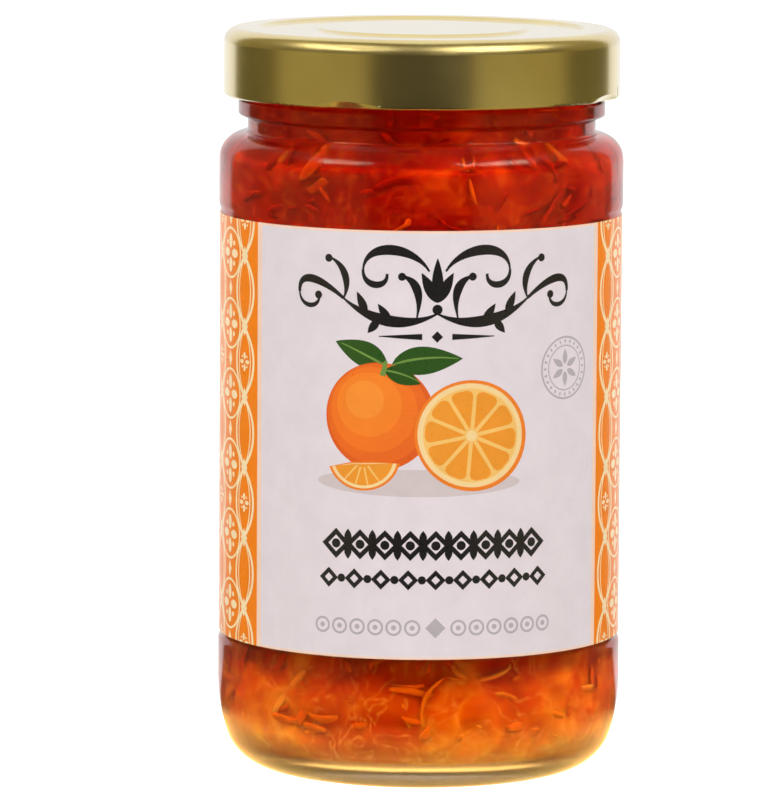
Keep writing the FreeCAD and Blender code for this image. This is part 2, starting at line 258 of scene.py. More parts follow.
def make_softbox(name, azimuth, elevation, width, height, watts, mirrored=False):
    """A soft lamp; azimuth is positive to the camera's right. A mirrored one only gives highlights."""
    data = bpy.data.lights.new(name, "AREA")
    data.shape = "RECTANGLE"
    data.size = width
    data.size_y = height
    data.energy = watts
    lamp = bpy.data.objects.new(name, data)
    a, e = radians(azimuth), radians(elevation)
    towards = Vector((sin(a) * cos(e), -cos(a) * cos(e), sin(e)))
    lamp.location = Vector((0, 0, LAMP_AIM)) + towards * LAMP_DISTANCE
    lamp.rotation_euler = towards.to_track_quat("Z", "Y").to_euler()
    lamp.visible_glossy = mirrored
    lamp.visible_diffuse = not mirrored
    lamp.visible_transmission = False
    bpy.context.collection.objects.link(lamp)


def make_lamps():
    """A low lamp in front, two high ones with their highlights apart, and two behind the sides."""
    make_softbox("fill", 0, 6, 1.4, 0.12, FILL_WATTS)
    for side, azimuth, width in SOFTBOXES:
        size = (SOFTBOX_RISE, width, SOFTBOX_HEIGHT)
        make_softbox(f"softbox_{side}", azimuth, *size, SOFTBOX_WATTS)
        make_softbox(f"highlight_{side}", azimuth, *size, GLOSS_WATTS * width, mirrored=True)
        make_softbox(f"rim_{side}", azimuth * RIM_TURN, 8, 0.8, 0.12, RIM_WATTS)


# ---------------------------------------------------------------- shapes


def rounded(corners, steps=8):
    """The outline through corners (r, z) or (r, z, rounding), with arcs in the rounded ones."""
    points = []
    for i, corner in enumerate(corners):
        at = Vector(corner[:2])
        if len(corner) < 3 or i in (0, len(corners) - 1):
            points.append(tuple(at))
            continue
        inward = (Vector(corners[i - 1][:2]) - at).normalized()
        outward = (Vector(corners[i + 1][:2]) - at).normalized()
        half = inward.angle(outward) / 2
        reach = corner[2] / tan(half)
        centre = at + (inward + outward).normalized() * (corner[2] / sin(half))
        start = at + inward * reach - centre
        end = at + outward * reach - centre
        turn = start.angle_signed(end)
        for k in range(steps + 1):
            a = -turn * k / steps
            x = centre.x + start.x * cos(a) - start.y * sin(a)
            points.append((x, centre.y + start.x * sin(a) + start.y * cos(a)))
    return points


def spaced(points, gap):
    """The outline with more points on its long runs."""
    filled = [points[0]]
    for (ax, ay), (bx, by) in zip(points, points[1:]):
        count = max(1, round(hypot(bx - ax, by - ay) / gap))
        filled += [(ax + (bx - ax) * k / count, ay + (by - ay) * k / count) for k in range(1, count + 1)]
    return filled


def turned_mesh(name, outline, segments):
    """Turns an outline about Z, from the middle of the bottom to the middle of the top."""
    mesh = bmesh.new()
    angles = [2 * pi * k / segments for k in range(segments)]
    rings = []
    for r, z in outline:
        places = [(r * cos(a), r * sin(a), z) for a in angles] if r > 1e-7 else [(0, 0, z)]
        rings.append([mesh.verts.new(place) for place in places])
    for low, high in zip(rings, rings[1:]):
        for k in range(segments):
            n = (k + 1) % segments
            ring = [low[k % len(low)], low[n % len(low)], high[n % len(high)], high[k % len(high)]]
            corners = [v for i, v in enumerate(ring) if v not in ring[:i]]
            if len(corners) > 2:
                mesh.faces.new(corners)
    return finished(name, mesh)


def finished(name, mesh, smooth=True):
    """The bmesh as an object in the scene."""
    data = bpy.data.meshes.new(name)
    mesh.to_mesh(data)
    mesh.free()
    for face in data.polygons:
        face.use_smooth = smooth
    made = bpy.data.objects.new(name, data)
    bpy.context.collection.objects.link(made)
    return made


# ---------------------------------------------------------------- jelly

# The marmalade's outline in mm, as in the CAD.
FILL_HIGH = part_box("marmalade")[1]
FILL_RADIUS = FILL_HIGH.x / MM
FILL_LEVEL = FILL_HIGH.z / MM
FILL_FOOT = 3.9
FILL_RISE = 1.6
FILL_RISE_IN = 17.08
FILL_RISE_OUT = 20.48
FILL_FLOOR_ROUND = 2.0
HEEL_ROUND = 5.8
SHOULDER_Z = 93.75
SHOULDER_RISE = 0.5
SHOULDER_ROUND = 1.6
MOUTH_RADIUS = 24.2
NECK_ROUND = 1.4

# Clear jelly next to the glass.
GEL_IN_WALL = 0.12
GEL_SEGMENTS = 192
GEL_SKIN = (1.0, 0.93, 0.8, 1)
GEL_COLOUR = (0.99, 0.5, 0.02, 1)
GEL_DENSITY = 320

# Thick jelly with pulp behind it.
PULP_INSET = 2.0
PULP_UNDER = 0.5
PULP_LUMPS = 1.3
PULP_LUMP_SCALE = 130
PULP_SPACING = 0.7
PULP_SEGMENTS = 240
JELLY_SCATTER = (1.0, 0.35, 0.1)

# Colours from the darkest jelly to the palest peel, at the top, lower down and at the foot. The change with height
# is partly the pulp's own colour and partly painted light: golden and lighter at the foot, where light comes in
# through the foot of the jar.
DEEP_STOPS = [
    (0.32, (0.176, 0.001, 0.0)),
    (0.5, (0.25, 0.004, 0.0)),
    (0.62, (0.345, 0.019, 0.0)),
    (0.8, (0.57, 0.135, 0.004)),
]
RED_STOPS = [
    (0.32, (0.43, 0.018, 0.0)),
    (0.5, (0.52, 0.05, 0.0)),
    (0.62, (0.61, 0.13, 0.001)),
    (0.8, (0.78, 0.4, 0.05)),
]
GOLDEN_STOPS = [
    (0.32, (0.42, 0.075, 0.0)),
    (0.5, (0.52, 0.165, 0.0003)),
    (0.62, (0.63, 0.29, 0.004)),
    (0.8, (0.84, 0.58, 0.12)),
]
PALE_SHARE = 0.75

# Where they change, as a share of the marmalade's height, and the painted light in the neck: the colour made
# brighter where the cap's shade falls.
GOLDEN_TO_RED = [(0.07, (0, 0, 0)), (0.17, (1, 1, 1))]
RED_TO_DEEP = [(0.2, (0, 0, 0)), (0.75, (1, 1, 1))]
NECK_PAINTED_LIGHT = [(0.915, (1, 1, 1)), (0.94, (1.9, 1.3, 1))]


def fill_outline(inset, under):
    """The outline of the marmalade, drawn in by inset at its side and by under at its foot (mm)."""
    side, foot, top = FILL_RADIUS - inset, FILL_FOOT + under, FILL_LEVEL - max(inset, 0)
    return rounded(
        [
            (0, foot + FILL_RISE),
            (FILL_RISE_IN, foot + FILL_RISE, FILL_FLOOR_ROUND),
            (FILL_RISE_OUT, foot, FILL_FLOOR_ROUND),
            (side, foot, max(HEEL_ROUND - inset, 0.5)),
            (side, SHOULDER_Z - inset, max(SHOULDER_ROUND - inset, 0.4)),
            (MOUTH_RADIUS - inset, SHOULDER_Z + SHOULDER_RISE - inset, NECK_ROUND + inset * 0.5),
            (MOUTH_RADIUS - inset, top),
            (0, top),
        ]
    )


def scaled(points):
    return [(r * MM, z * MM) for r, z in points]


def gel_material():
    """Clear jelly: its colour comes from depth, and it meets the glass without a reflection."""
    material, tree, shader = new_material("gel", Roughness=0.18, IOR=1.4, Specular_Tint=(0, 0, 0, 1))
    shader.inputs["Base Color"].default_value = GEL_SKIN
    shader.inputs["Transmission Weight"].default_value = 1
    volume = add(tree, "ShaderNodeVolumeAbsorption", Color=GEL_COLOUR, Density=GEL_DENSITY)
    tree.links.new(volume.outputs[0], tree.nodes["Material Output"].inputs["Volume"])
    return material


def make_gel():
    gel = turned_mesh("gel", scaled(fill_outline(-GEL_IN_WALL, -GEL_IN_WALL)), GEL_SEGMENTS)
    gel.data.materials.append(gel_material())
    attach(gel, "root")
    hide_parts("marmalade")
    gel.visible_shadow = False


def jelly_colour(tree, place, share):
    """The marmalade's colour at a place, for a share from its darkest jelly (0.32) to its palest peel (0.8)."""
    height = add(tree, "ShaderNodeSeparateXYZ", i0=place).outputs[2]
    rise = math(tree, "DIVIDE", height, FILL_LEVEL * MM)
    golden, red, deep = (ramp(tree, share, stops) for stops in (GOLDEN_STOPS, RED_STOPS, DEEP_STOPS))
    # Partly painted light: the colour turns golden and lighter towards the foot, as if lit through it, besides the
    # pulp's own change with height.
    low = mix(tree, ramp(tree, rise, GOLDEN_TO_RED), golden, red)
    colour = mix(tree, ramp(tree, rise, RED_TO_DEEP), low, deep)
    # Painted light: the colour is brightened in the neck, where the cap shades it.
    return mix(tree, 1.0, colour, ramp(tree, rise, NECK_PAINTED_LIGHT), "MULTIPLY")


def jelly_material(name, colour_of, roughness, weight, scatter):
    """A material without gloss, lit from inside to a depth in metres."""
    material, tree, shader = new_material(name, Roughness=roughness, Specular_IOR_Level=0.0)
    tree.links.new(colour_of(tree), shader.inputs["Base Color"])
    shader.inputs["Subsurface Weight"].default_value = weight
    shader.inputs["Subsurface Radius"].default_value = JELLY_SCATTER
    shader.inputs["Subsurface Scale"].default_value = scatter
    return material


def core_colour(tree):
    """Deep red above, more golden below, with blurred patches and thin pale skins."""
    place = object_place(tree)
    broad = noise_texture(tree, place, 75.0, 1.5, 0.6)
    patch = noise_texture(tree, place, 230.0, 2.0, 1.0)
    both = math(tree, "ADD", math(tree, "MULTIPLY", broad, 0.6), math(tree, "MULTIPLY", patch, 0.4))
    thread = noise_texture(tree, place, 190.0, 3.0, 1.8)
    skin = math(tree, "ABSOLUTE", math(tree, "SUBTRACT", thread, 0.5))
    pale = ramp(tree, skin, [(0.0, grey(0.5)), (0.026, grey(0.0))])
    palest = add(tree, "ShaderNodeValue")
    palest.outputs[0].default_value = PALE_SHARE
    return mix(tree, pale, jelly_colour(tree, place, both), jelly_colour(tree, place, palest.outputs[0]))


def make_core():
    """The dense marmalade behind the clear jelly near the glass: lumpy, so that the jelly's depth varies."""
    outline = scaled(spaced(fill_outline(PULP_INSET, PULP_UNDER), PULP_SPACING))
    core = turned_mesh("pulp", outline, PULP_SEGMENTS)
    for vertex in core.data.vertices:
        p = vertex.co
        lump = noise.fractal(p * PULP_LUMP_SCALE, 1.0, 2.0, 3)
        away = Vector((p.x, p.y, 0))
        if away.length > 1e-4:
            vertex.co += away.normalized() * (max(-1.0, min(1.0, lump)) * PULP_LUMPS * MM)
    core.data.materials.append(jelly_material("pulp", core_colour, 0.6, 1.0, 0.004))
    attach(core, "root")


# Strips of peel: how many, the corners of a section, the runs along one, and how round the sections are.
SHRED_COUNT = 900
SHRED_SIDES = 6
SHRED_STEPS = 9
SHRED_ROUNDNESS = 0.6


def shred_colour(tree):
    """Each strip has its own tint, a little mottled."""
    tint = add(tree, "ShaderNodeAttribute", attribute_name="tint").outputs["Fac"]
    place = object_place(tree)
    mottle = math(tree, "MULTIPLY", noise_texture(tree, place, 900.0, 3.0), 0.16)
    share = math(tree, "ADD", math(tree, "MULTIPLY", tint, 0.26), mottle)
    return jelly_colour(tree, place, math(tree, "ADD", share, 0.4))


def fill_radius(z):
    """The radius of the fill at a height, or None outside it."""
    if not FILL_FOOT + 0.8 < z < FILL_LEVEL - 1.2:
        return None
    if z > SHOULDER_Z - 1.5:
        return MOUTH_RADIUS
    low = min(z - FILL_FOOT, HEEL_ROUND)
    return FILL_RADIUS - HEEL_ROUND + (HEEL_ROUND**2 - (HEEL_ROUND - low) ** 2) ** 0.5


def shred_section(mesh, centre, across, through, width, thick):
    """The corners of a strip's section, an oblong with soft corners."""
    corners = []
    for s in range(SHRED_SIDES):
        a = 2 * pi * s / SHRED_SIDES
        x, y = (abs(v) ** SHRED_ROUNDNESS * (1 if v > 0 else -1) / 2 for v in (cos(a), sin(a)))
        corners.append(mesh.verts.new((centre + across * (x * width) + through * (y * thick)) * MM))
    return corners


def add_shred(mesh, tints, dice):
    """One strip of peel, curved and twisted, near the wall of the jar; none where it would leave the fill."""
    length = dice.uniform(3, 10)
    width = dice.uniform(0.6, 1.6)
    thick = dice.uniform(0.3, 0.6)
    depth = 1.6 + 1.1 * dice.random()
    azimuth = dice.uniform(0, 2 * pi)
    height = dice.uniform(FILL_FOOT + 1.5, FILL_LEVEL - 3)
    slope = dice.gauss(0.4, 0.8)
    bend = dice.gauss(0, 0.05)
    roll = dice.uniform(0, pi)
    twist = dice.gauss(0, 0.07)
    tint = dice.random() ** 1.5
    course = []
    for k in range(SHRED_STEPS + 1):
        along = (k / SHRED_STEPS - 0.5) * length
        turn = slope + bend * along
        z = height + sin(turn) * along
        course.append((along, turn, z, fill_radius(z)))
    if any(room is None for *_, room in course):
        return
    rings = []
    for k, (along, turn, z, room) in enumerate(course):
        r = room - depth - 0.6 * sin(along * 0.5 + roll)
        a = azimuth + cos(turn) * along / max(r, 5)
        out = Vector((cos(a), sin(a), 0))
        side = Vector((-sin(a) * -sin(turn), cos(a) * -sin(turn), cos(turn)))
        spin = roll * 0.25 + twist * along
        across = side * cos(spin) + out * sin(spin)
        through = out * cos(spin) - side * sin(spin)
        taper = 1 - abs(2 * k / SHRED_STEPS - 1) ** 6 * 0.5
        centre = Vector((r * cos(a), r * sin(a), z))
        rings.append(shred_section(mesh, centre, across, through, width * taper, thick * taper))
    faces = [mesh.faces.new(rings[0][::-1]), mesh.faces.new(rings[-1])]
    for low, high in zip(rings, rings[1:]):
        for s in range(SHRED_SIDES):
            n = (s + 1) % SHRED_SIDES
            faces.append(mesh.faces.new((low[s], low[n], high[n], high[s])))
    for face in faces:
        for loop in face.loops:
            loop[tints] = (tint, tint, tint, 1)


def make_shreds():
    """All strips of peel as one mesh."""
    dice = random.Random(SEED)
    mesh = bmesh.new()
    tints = mesh.loops.layers.color.new("tint")
    for _ in range(SHRED_COUNT):
        add_shred(mesh, tints, dice)
    bmesh.ops.recalc_face_normals(mesh, faces=mesh.faces)
    shreds = finished("peel", mesh)
    shreds.data.materials.append(jelly_material("peel", shred_colour, 0.45, 0.6, 0.001))
    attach(shreds, "root")


# ---------------------------------------------------------------- glass and cap

# What parts the glass's inner wall from its outer one, in mm: a radius in the body, one in the neck, and a height.
WET_RADIUS = 29.0
WET_NECK = 25.2
WET_SHOULDER = 94.6
WET_FOOT = 3.4
GLASS_TINT = (0.8, 0.72, 0.52)
GLASS_HAZE = 0.16


def wetted(tree, place):
    """1 on the inner wall, where the marmalade wets the glass and ends its reflections, and 0 outside."""
    parts = add(tree, "ShaderNodeSeparateXYZ", i0=place)
    x, y, z = parts.outputs
    squares = math(tree, "ADD", math(tree, "MULTIPLY", x, x), math(tree, "MULTIPLY", y, y))
    radius = math(tree, "SQRT", squares)
    in_neck = math(tree, "GREATER_THAN", z, WET_SHOULDER * MM)
    narrower = math(tree, "MULTIPLY", in_neck, (WET_RADIUS - WET_NECK) * MM)
    limit = math(tree, "SUBTRACT", WET_RADIUS * MM, narrower)
    inside = math(tree, "LESS_THAN", radius, limit)
    above = math(tree, "GREATER_THAN", z, WET_FOOT * MM)
    return math(tree, "MULTIPLY", inside, above)


def glass_material():
    """Clear glass, slightly wavy, with a soft gloss outside and no reflection where jelly wets it."""
    material, tree, shader = new_material("jar_glass", IOR=1.5)
    shader.inputs["Base Color"].default_value = (0.985, 0.995, 0.985, 1)
    shader.inputs["Transmission Weight"].default_value = 1
    place = object_place(tree)
    wet = wetted(tree, place)
    tree.links.new(mix(tree, wet, GLASS_TINT, (0, 0, 0)), shader.inputs["Specular Tint"])
    haze = math(tree, "MULTIPLY", noise_texture(tree, place, 160.0, 4.0), GLASS_HAZE)
    dry = math(tree, "SUBTRACT", 1.0, wet)
    tree.links.new(math(tree, "MULTIPLY", haze, dry), shader.inputs["Roughness"])
    add_bump(tree, shader, noise_texture(tree, place, 70.0, 2.0), 0.35, 0.0003)
    return material


def gold_material():
    """Gold lacquer on tinplate: uneven in colour and gloss, with a fine grain."""
    material, tree, shader = new_material("gold_lacquer", Metallic=1.0, Coat_Weight=1.0, Coat_Roughness=0.1)
    place = object_place(tree)
    cloud = noise_texture(tree, place, 90.0, 2.0)
    colour = ramp(tree, cloud, [(0.3, (0.83, 0.65, 0.25)), (0.7, (0.91, 0.73, 0.29))])
    tree.links.new(colour, shader.inputs["Base Color"])
    tree.links.new(scaled_by(tree, cloud, 0.1, 0.2), shader.inputs["Roughness"])
    add_bump(tree, shader, noise_texture(tree, place, 700.0, 1.0), 0.04, 0.00002)
    return material


def dress(name, material):
    """Gives a CAD node its finished material."""
    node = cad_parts[name]
    for slot in node.material_slots:
        slot.material = material


# ---------------------------------------------------------------- label

# The paper as it lies flat, in mm: x runs round the jar from the label's middle, y is the height.
LABEL_LOW, LABEL_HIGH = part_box("label")
PAPER_RADIUS = 30.2
PAPER_BACK = 30.1
PAPER_BOTTOM = LABEL_LOW.z / MM
PAPER_TOP = LABEL_HIGH.z / MM
PAPER_TURN = 2.6
PAPER_GAP = 9.0
PAPER_HALF = pi * PAPER_RADIUS - PAPER_GAP / 2
STRIP_WIDTH = 1.5

# The front panel, the middle of what is drawn on it, and the chains beside it.
PANEL_HALF = 28.7
PANEL_LINE = 1.0
PANEL_MIDDLE = 0.53
PANEL_EDGE = 0.33
ART_MIDDLE = 1.1
SIDE_PITCH = 10.2
SIDE_ROWS = 3
SIDE_START = 3.6

INKS = {
    "orange": srgb(253, 134, 0),
    "peach": srgb(252, 214, 186),
    "cream": srgb(255, 228, 178),
    "panel": srgb(231, 219, 222),
    "black": srgb(30, 26, 27),
    "grey": srgb(184, 174, 176),
    "shade": srgb(214, 198, 196),
    "fruit_1": srgb(230, 92, 4),
    "fruit_2": srgb(240, 104, 6),
    "fruit_3": srgb(247, 117, 10),
    "fruit_4": srgb(252, 131, 22),
    "fruit_5": srgb(255, 146, 40),
    "rind": srgb(244, 128, 20),
    "pith": srgb(250, 214, 150),
    "flesh": srgb(244, 152, 34),
    "skin": srgb(250, 196, 104),
    "leaf": srgb(44, 84, 20),
    "vein": srgb(112, 148, 62),
}


def leaned(x, y, u, v, lean):
    """The place (u, v) along and across from (x, y), turned by lean."""
    return x + u * cos(lean) - v * sin(lean), y + u * sin(lean) + v * cos(lean)


class Print:
    """Shapes in the label's plane, in mm, each with an ink. Later ones lie on top."""

    def __init__(self):
        self.points, self.faces, self.inks = [], [], []

    def polygon(self, points, ink):
        """A filled outline, turned anticlockwise; one without area is dropped."""
        ends = points[1:] + points[:1]
        area = sum(a[0] * b[1] - b[0] * a[1] for a, b in zip(points, ends))
        if abs(area) < 1e-5:
            return
        if area < 0:
            points = points[::-1]
        first = len(self.points)
        self.points += [Vector(p) for p in points]
        self.faces.append(list(range(first, first + len(points))))
        self.inks.append(ink)

    def box(self, left, bottom, right, top, ink):
        self.polygon([(left, bottom), (right, bottom), (right, top), (left, top)], ink)

    def disc(self, x, y, radius, ink, steps=32, squash=1.0, lean=0.0):
        """A disc, an oval or, with few steps, a diamond."""
        points = []
        for k in range(steps):
            a = 2 * pi * k / steps
            points.append(leaned(x, y, radius * cos(a), radius * squash * sin(a), lean))
        self.polygon(points, ink)

    def stroke(self, points, widths, ink):
        """A line of changing width through points, as two triangles for each run."""
        sides = []
        for i, (x, y) in enumerate(points):
            ax, ay = points[max(i - 1, 0)]
            bx, by = points[min(i + 1, len(points) - 1)]
            run = hypot(bx - ax, by - ay)
            nx, ny = -(by - ay) / run, (bx - ax) / run
            half = widths[i] / 2
            sides.append(((x + nx * half, y + ny * half), (x - nx * half, y - ny * half)))
        for (a, b), (c, d) in zip(sides, sides[1:]):
            self.polygon([a, b, d], ink)
            self.polygon([a, d, c], ink)

    def ring(self, x, y, radius, width, ink, steps=40):
        points = []
        for k in range(steps + 1):
            a = 2 * pi * k / steps
            points.append((x + radius * cos(a), y + radius * sin(a)))
        self.stroke(points, [width] * len(points), ink)

    def leaf(self, x, y, length, width, lean, ink, tip=0.0, steps=14):
        """A pointed leaf from its stalk at (x, y), bent towards its tip."""
        left, right = [], []
        for k in range(steps + 1):
            t = k / steps
            half = width / 2 * sin(pi * t**0.8) ** 0.9
            u, v = t * length, tip * t * t
            left.append((u, v + half))
            right.append((u, v - half))
        self.polygon([leaned(x, y, u, v, lean) for u, v in left + right[-2:0:-1]], ink)


def curve(start, first, second, end, steps=18):
    """Points along a Bezier curve."""
    points = []
    for k in range(steps + 1):
        t = k / steps
        weights = ((1 - t) ** 3, 3 * t * (1 - t) ** 2, 3 * t * t * (1 - t), t**3)
        pull = list(zip(weights, (start, first, second, end)))
        points.append((sum(w * p[0] for w, p in pull), sum(w * p[1] for w, p in pull)))
    return points


def swelling(count, thin, thick, peak=0.5):
    """Widths of a pen stroke that swells and thins again."""
    widths = []
    for k in range(count):
        t = k / (count - 1)
        u = t / peak * 0.5 if t < peak else 0.5 + (t - peak) / (1 - peak) * 0.5
        widths.append(thin + (thick - thin) * sin(pi * u) ** 1.5)
    return widths


def draw_sides(sheet):
    """Orange side fields with cream chains of pointed cells, flowers between them and in every other cell."""
    columns = int((PAPER_HALF - PANEL_HALF) / SIDE_PITCH) + 2
    for side in (-1, 1):
        for column in range(columns):
            offset = PANEL_HALF + PANEL_LINE + SIDE_START + column * SIDE_PITCH
            middle = PANEL_MIDDLE + side * offset
            draw_chain(sheet, middle)
            draw_column(sheet, middle, middle + side * SIDE_PITCH / 2)


def draw_chain(sheet, middle):
    """A chain of pointed cells, each a broad line with a thin one inside."""
    steps = SIDE_ROWS * 24
    rise = (PAPER_TOP - PAPER_BOTTOM) / SIDE_ROWS
    for share, width in ((1.0, 0.52), (0.66, 0.24)):
        for phase in (0, pi):
            line = []
            for k in range(steps + 1):
                swing = cos(2 * pi * SIDE_ROWS * k / steps + phase)
                x = middle + SIDE_PITCH / 4 * share * swing * (1.2 - 0.2 * swing * swing)
                line.append((x, PAPER_BOTTOM + rise * SIDE_ROWS * k / steps))
            sheet.stroke(line, [width] * len(line), "cream")


def draw_column(sheet, middle, between):
    """The motifs up the middle of a chain, and the ringed flowers between it and the next."""
    step = (PAPER_TOP - PAPER_BOTTOM) / SIDE_ROWS / 4
    for row in range(SIDE_ROWS * 4 + 1):
        z = PAPER_BOTTOM + step * row
        if row % 2:
            sheet.disc(middle, z, 0.95, "cream", 4, 1.5)
            draw_flower(sheet, between, z, 1.7)
            sheet.ring(between, z, 3.7, 0.36, "cream", steps=28)
        else:
            sheet.disc(between, z, 0.7, "cream", 4, 1.8)
            if row % 4 == 0:
                draw_flower(sheet, middle, z, 0.85)


def draw_flower(sheet, x, z, scale):
    """Four petals with a dot between each two."""
    for k in range(4):
        a = k * pi / 2
        petal = (x + 0.95 * scale * cos(a), z + 1.05 * scale * sin(a))
        sheet.disc(*petal, 0.66 * scale, "cream", 14, 0.6, a)
        a += pi / 4
        dot = (x + 1.15 * scale * cos(a), z + 1.25 * scale * sin(a))
        sheet.disc(*dot, 0.24 * scale, "cream", 8)


def draw_panel(sheet):
    """The pale front panel, with a peach line at its sides and at its top and foot."""
    left, right = PANEL_MIDDLE - PANEL_HALF, PANEL_MIDDLE + PANEL_HALF
    sheet.box(left - PANEL_LINE, PAPER_BOTTOM, right + PANEL_LINE, PAPER_TOP, "peach")
    sheet.box(left, PAPER_BOTTOM + PANEL_EDGE, right, PAPER_TOP - PANEL_EDGE, "panel")


def draw_flourish(sheet):
    """A black pen flourish, the same to both sides, over a short rule."""
    for side in (-1, 1):
        strokes = [
            (curve((0, 71.6), (4.5, 69.2), (10, 70.4), (14.0, 73.6)), 0.3, 1.7),
            (curve((14.0, 73.6), (17.5, 76.4), (21.6, 77.6), (21.4, 74.2)), 0.5, 1.2),
            (curve((21.4, 74.2), (21.2, 71.6), (17.6, 71.8), (18.0, 74.0)), 0.3, 0.7),
            (curve((1.2, 77.8), (3.4, 81.6), (10.6, 82.2), (11.0, 78.0)), 0.3, 1.5),
            (curve((11.0, 78.0), (11.2, 75.2), (7.2, 75.0), (7.4, 77.4)), 0.4, 1.0),
            (curve((3.0, 71.0), (2.2, 74.8), (3.2, 76.6), (5.4, 77.2)), 0.25, 1.3),
            (curve((14.0, 73.6), (13.0, 75.6), (13.6, 78.6), (16.4, 79.6)), 0.25, 1.1),
        ]
        for points, thin, thick in strokes:
            line = [(ART_MIDDLE + side * x, z) for x, z in points]
            sheet.stroke(line, swelling(len(line), thin, thick), "black")
        for x, z in ((16.4, 79.4), (5.2, 77.0), (18.1, 73.9)):
            sheet.disc(ART_MIDDLE + side * x, z, 0.6, "black", 16)
        leaves = ((6.8, 70.2, 3.4, 55), (10.4, 71.4, 3.6, 65), (8.6, 70.6, 2.6, -50))
        for x, z, length, lean in leaves:
            angle = radians(lean if side > 0 else 180 - lean)
            sheet.leaf(ART_MIDDLE + side * x, z, length, 1.25, angle, "black")
    for length, lean in ((6.6, 90), (5.0, 62), (5.0, 118)):
        sheet.leaf(ART_MIDDLE, 73.2, length, 1.7, radians(lean), "black")
    sheet.disc(ART_MIDDLE, 72.2, 0.75, "black", 18)
    for side in (-1, 1):
        line = [(ART_MIDDLE + side * x, 68.2) for x in (2.2, 5, 8.6)]
        sheet.stroke(line, [0.9, 0.6, 0.12], "black")
    sheet.disc(ART_MIDDLE, 68.2, 0.85, "black", 4)


def draw_rosette(sheet, x=22.3, z=62.8):
    """A plain grey ring with petals, right of the fruit."""
    sheet.ring(x, z, 4.55, 0.3, "grey", steps=48)
    sheet.ring(x, z, 3.3, 0.2, "grey", steps=40)
    for k in range(24):
        a = 2 * pi * k / 24
        sheet.disc(x + 3.93 * cos(a), z + 3.93 * sin(a), 0.3, "grey", 8, 0.6, a)
    for k in range(6):
        a = 2 * pi * k / 6 + pi / 2
        sheet.leaf(x + 0.5 * cos(a), z + 0.5 * sin(a), 2.3, 1.0, a, "grey", steps=8)


def draw_fruit(sheet):
    """A whole orange with its leaves, a cut one in front of it and a loose segment."""
    sheet.disc(-1.5, 46.6, 15.5, "shade", 40, 0.13)
    sheet.leaf(-5.6, 64.0, 10.5, 4.2, radians(12), "leaf", -1.2)
    sheet.leaf(-6.2, 63.8, 8.6, 3.8, radians(150), "leaf", 1.0)
    shading = ((8.2, 0.0), (7.6, 0.35), (6.5, 0.95), (4.9, 1.7), (2.9, 2.4))
    for number, (radius, shift) in enumerate(shading, 1):
        sheet.disc(-7.4 - shift * 0.9, 56.4 + shift, radius, f"fruit_{number}", 56, 0.97)
    sheet.leaf(-6.6, 63.2, 5.6, 2.6, radians(-12), "leaf", -0.8)
    veins = (
        ((-5.6, 64.0), (-2.5, 65.2), (1.5, 65.4), (4.2, 65.0), 0.15, 0.35),
        ((-6.2, 63.8), (-9, 65.2), (-11.5, 66.4), (-13.2, 67.0), 0.15, 0.35),
        ((-6.6, 63.2), (-5, 63.1), (-3, 62.5), (-1.5, 61.6), 0.12, 0.3),
    )
    for start, first, second, end, thin, thick in veins:
        line = curve(start, first, second, end)
        sheet.stroke(line, swelling(len(line), thin, thick, 0.2), "vein")
    sheet.stroke([(-6.9, 62.4), (-6.4, 64.6)], [0.9, 0.5], "vein")
    draw_cut(sheet, 6.4, 53.6, 8.6)
    draw_segment(sheet, -9.8, 47.2)


def draw_cut(sheet, x, z, radius):
    """The cut face of a halved orange."""
    lean, squash, count = radians(-18), 0.95, 10
    sheet.disc(x, z, radius, "rind", 56, squash, lean)
    x -= 0.1
    sheet.disc(x, z + 0.05, radius - 0.55, "pith", 52, squash, lean)
    sheet.disc(x, z + 0.05, radius - 1.35, "skin", 48, squash, lean)
    outer, half = radius - 1.6, pi / count
    edge = ((0.88, -0.86), (0.96, -0.74), (1.0, -0.4), (1.0, 0.4), (0.96, 0.74), (0.88, 0.86))
    for k in range(count):
        a = 2 * pi * (k + 0.35) / count
        wedge = []
        for r, turn in [(1.0, a)] + [(outer * share, a + half * turn) for share, turn in edge]:
            wedge.append(leaned(x, z, r * cos(turn), r * sin(turn) * squash, lean))
        sheet.polygon(wedge, "flesh")
    sheet.disc(x, z, 0.8, "pith", 16)


def draw_segment(sheet, x, z):
    """A loose segment: a half moon with its pale edge."""
    for radius, drop, ink in ((5.6, 0.0, "rind"), (5.15, 0.25, "pith"), (4.6, 0.45, "flesh")):
        points = []
        for k in range(21):
            a = radians(200 + 150 * k / 20)
            points.append((x + radius * cos(a), z + 3.2 - drop * 0.3 + radius * 0.9 * sin(a)))
        ax, az = points[-1]
        bx, bz = points[0]
        points.append(((ax * 2 + bx) / 3, (az * 2 + bz) / 3 + 0.5 - drop))
        points.append(((ax + bx * 2) / 3, (az + bz * 2) / 3 + 0.6 - drop))
        sheet.polygon(points, ink)
    for lean in (232, 256, 280, 304):
        a = radians(lean)
        near = (x + 1.4 * cos(a), z + 2.9 + 1.3 * sin(a))
        far = (x + 4.5 * cos(a), z + 2.95 + 4.0 * sin(a))
        sheet.stroke([near, far], [0.28, 0.2], "skin")


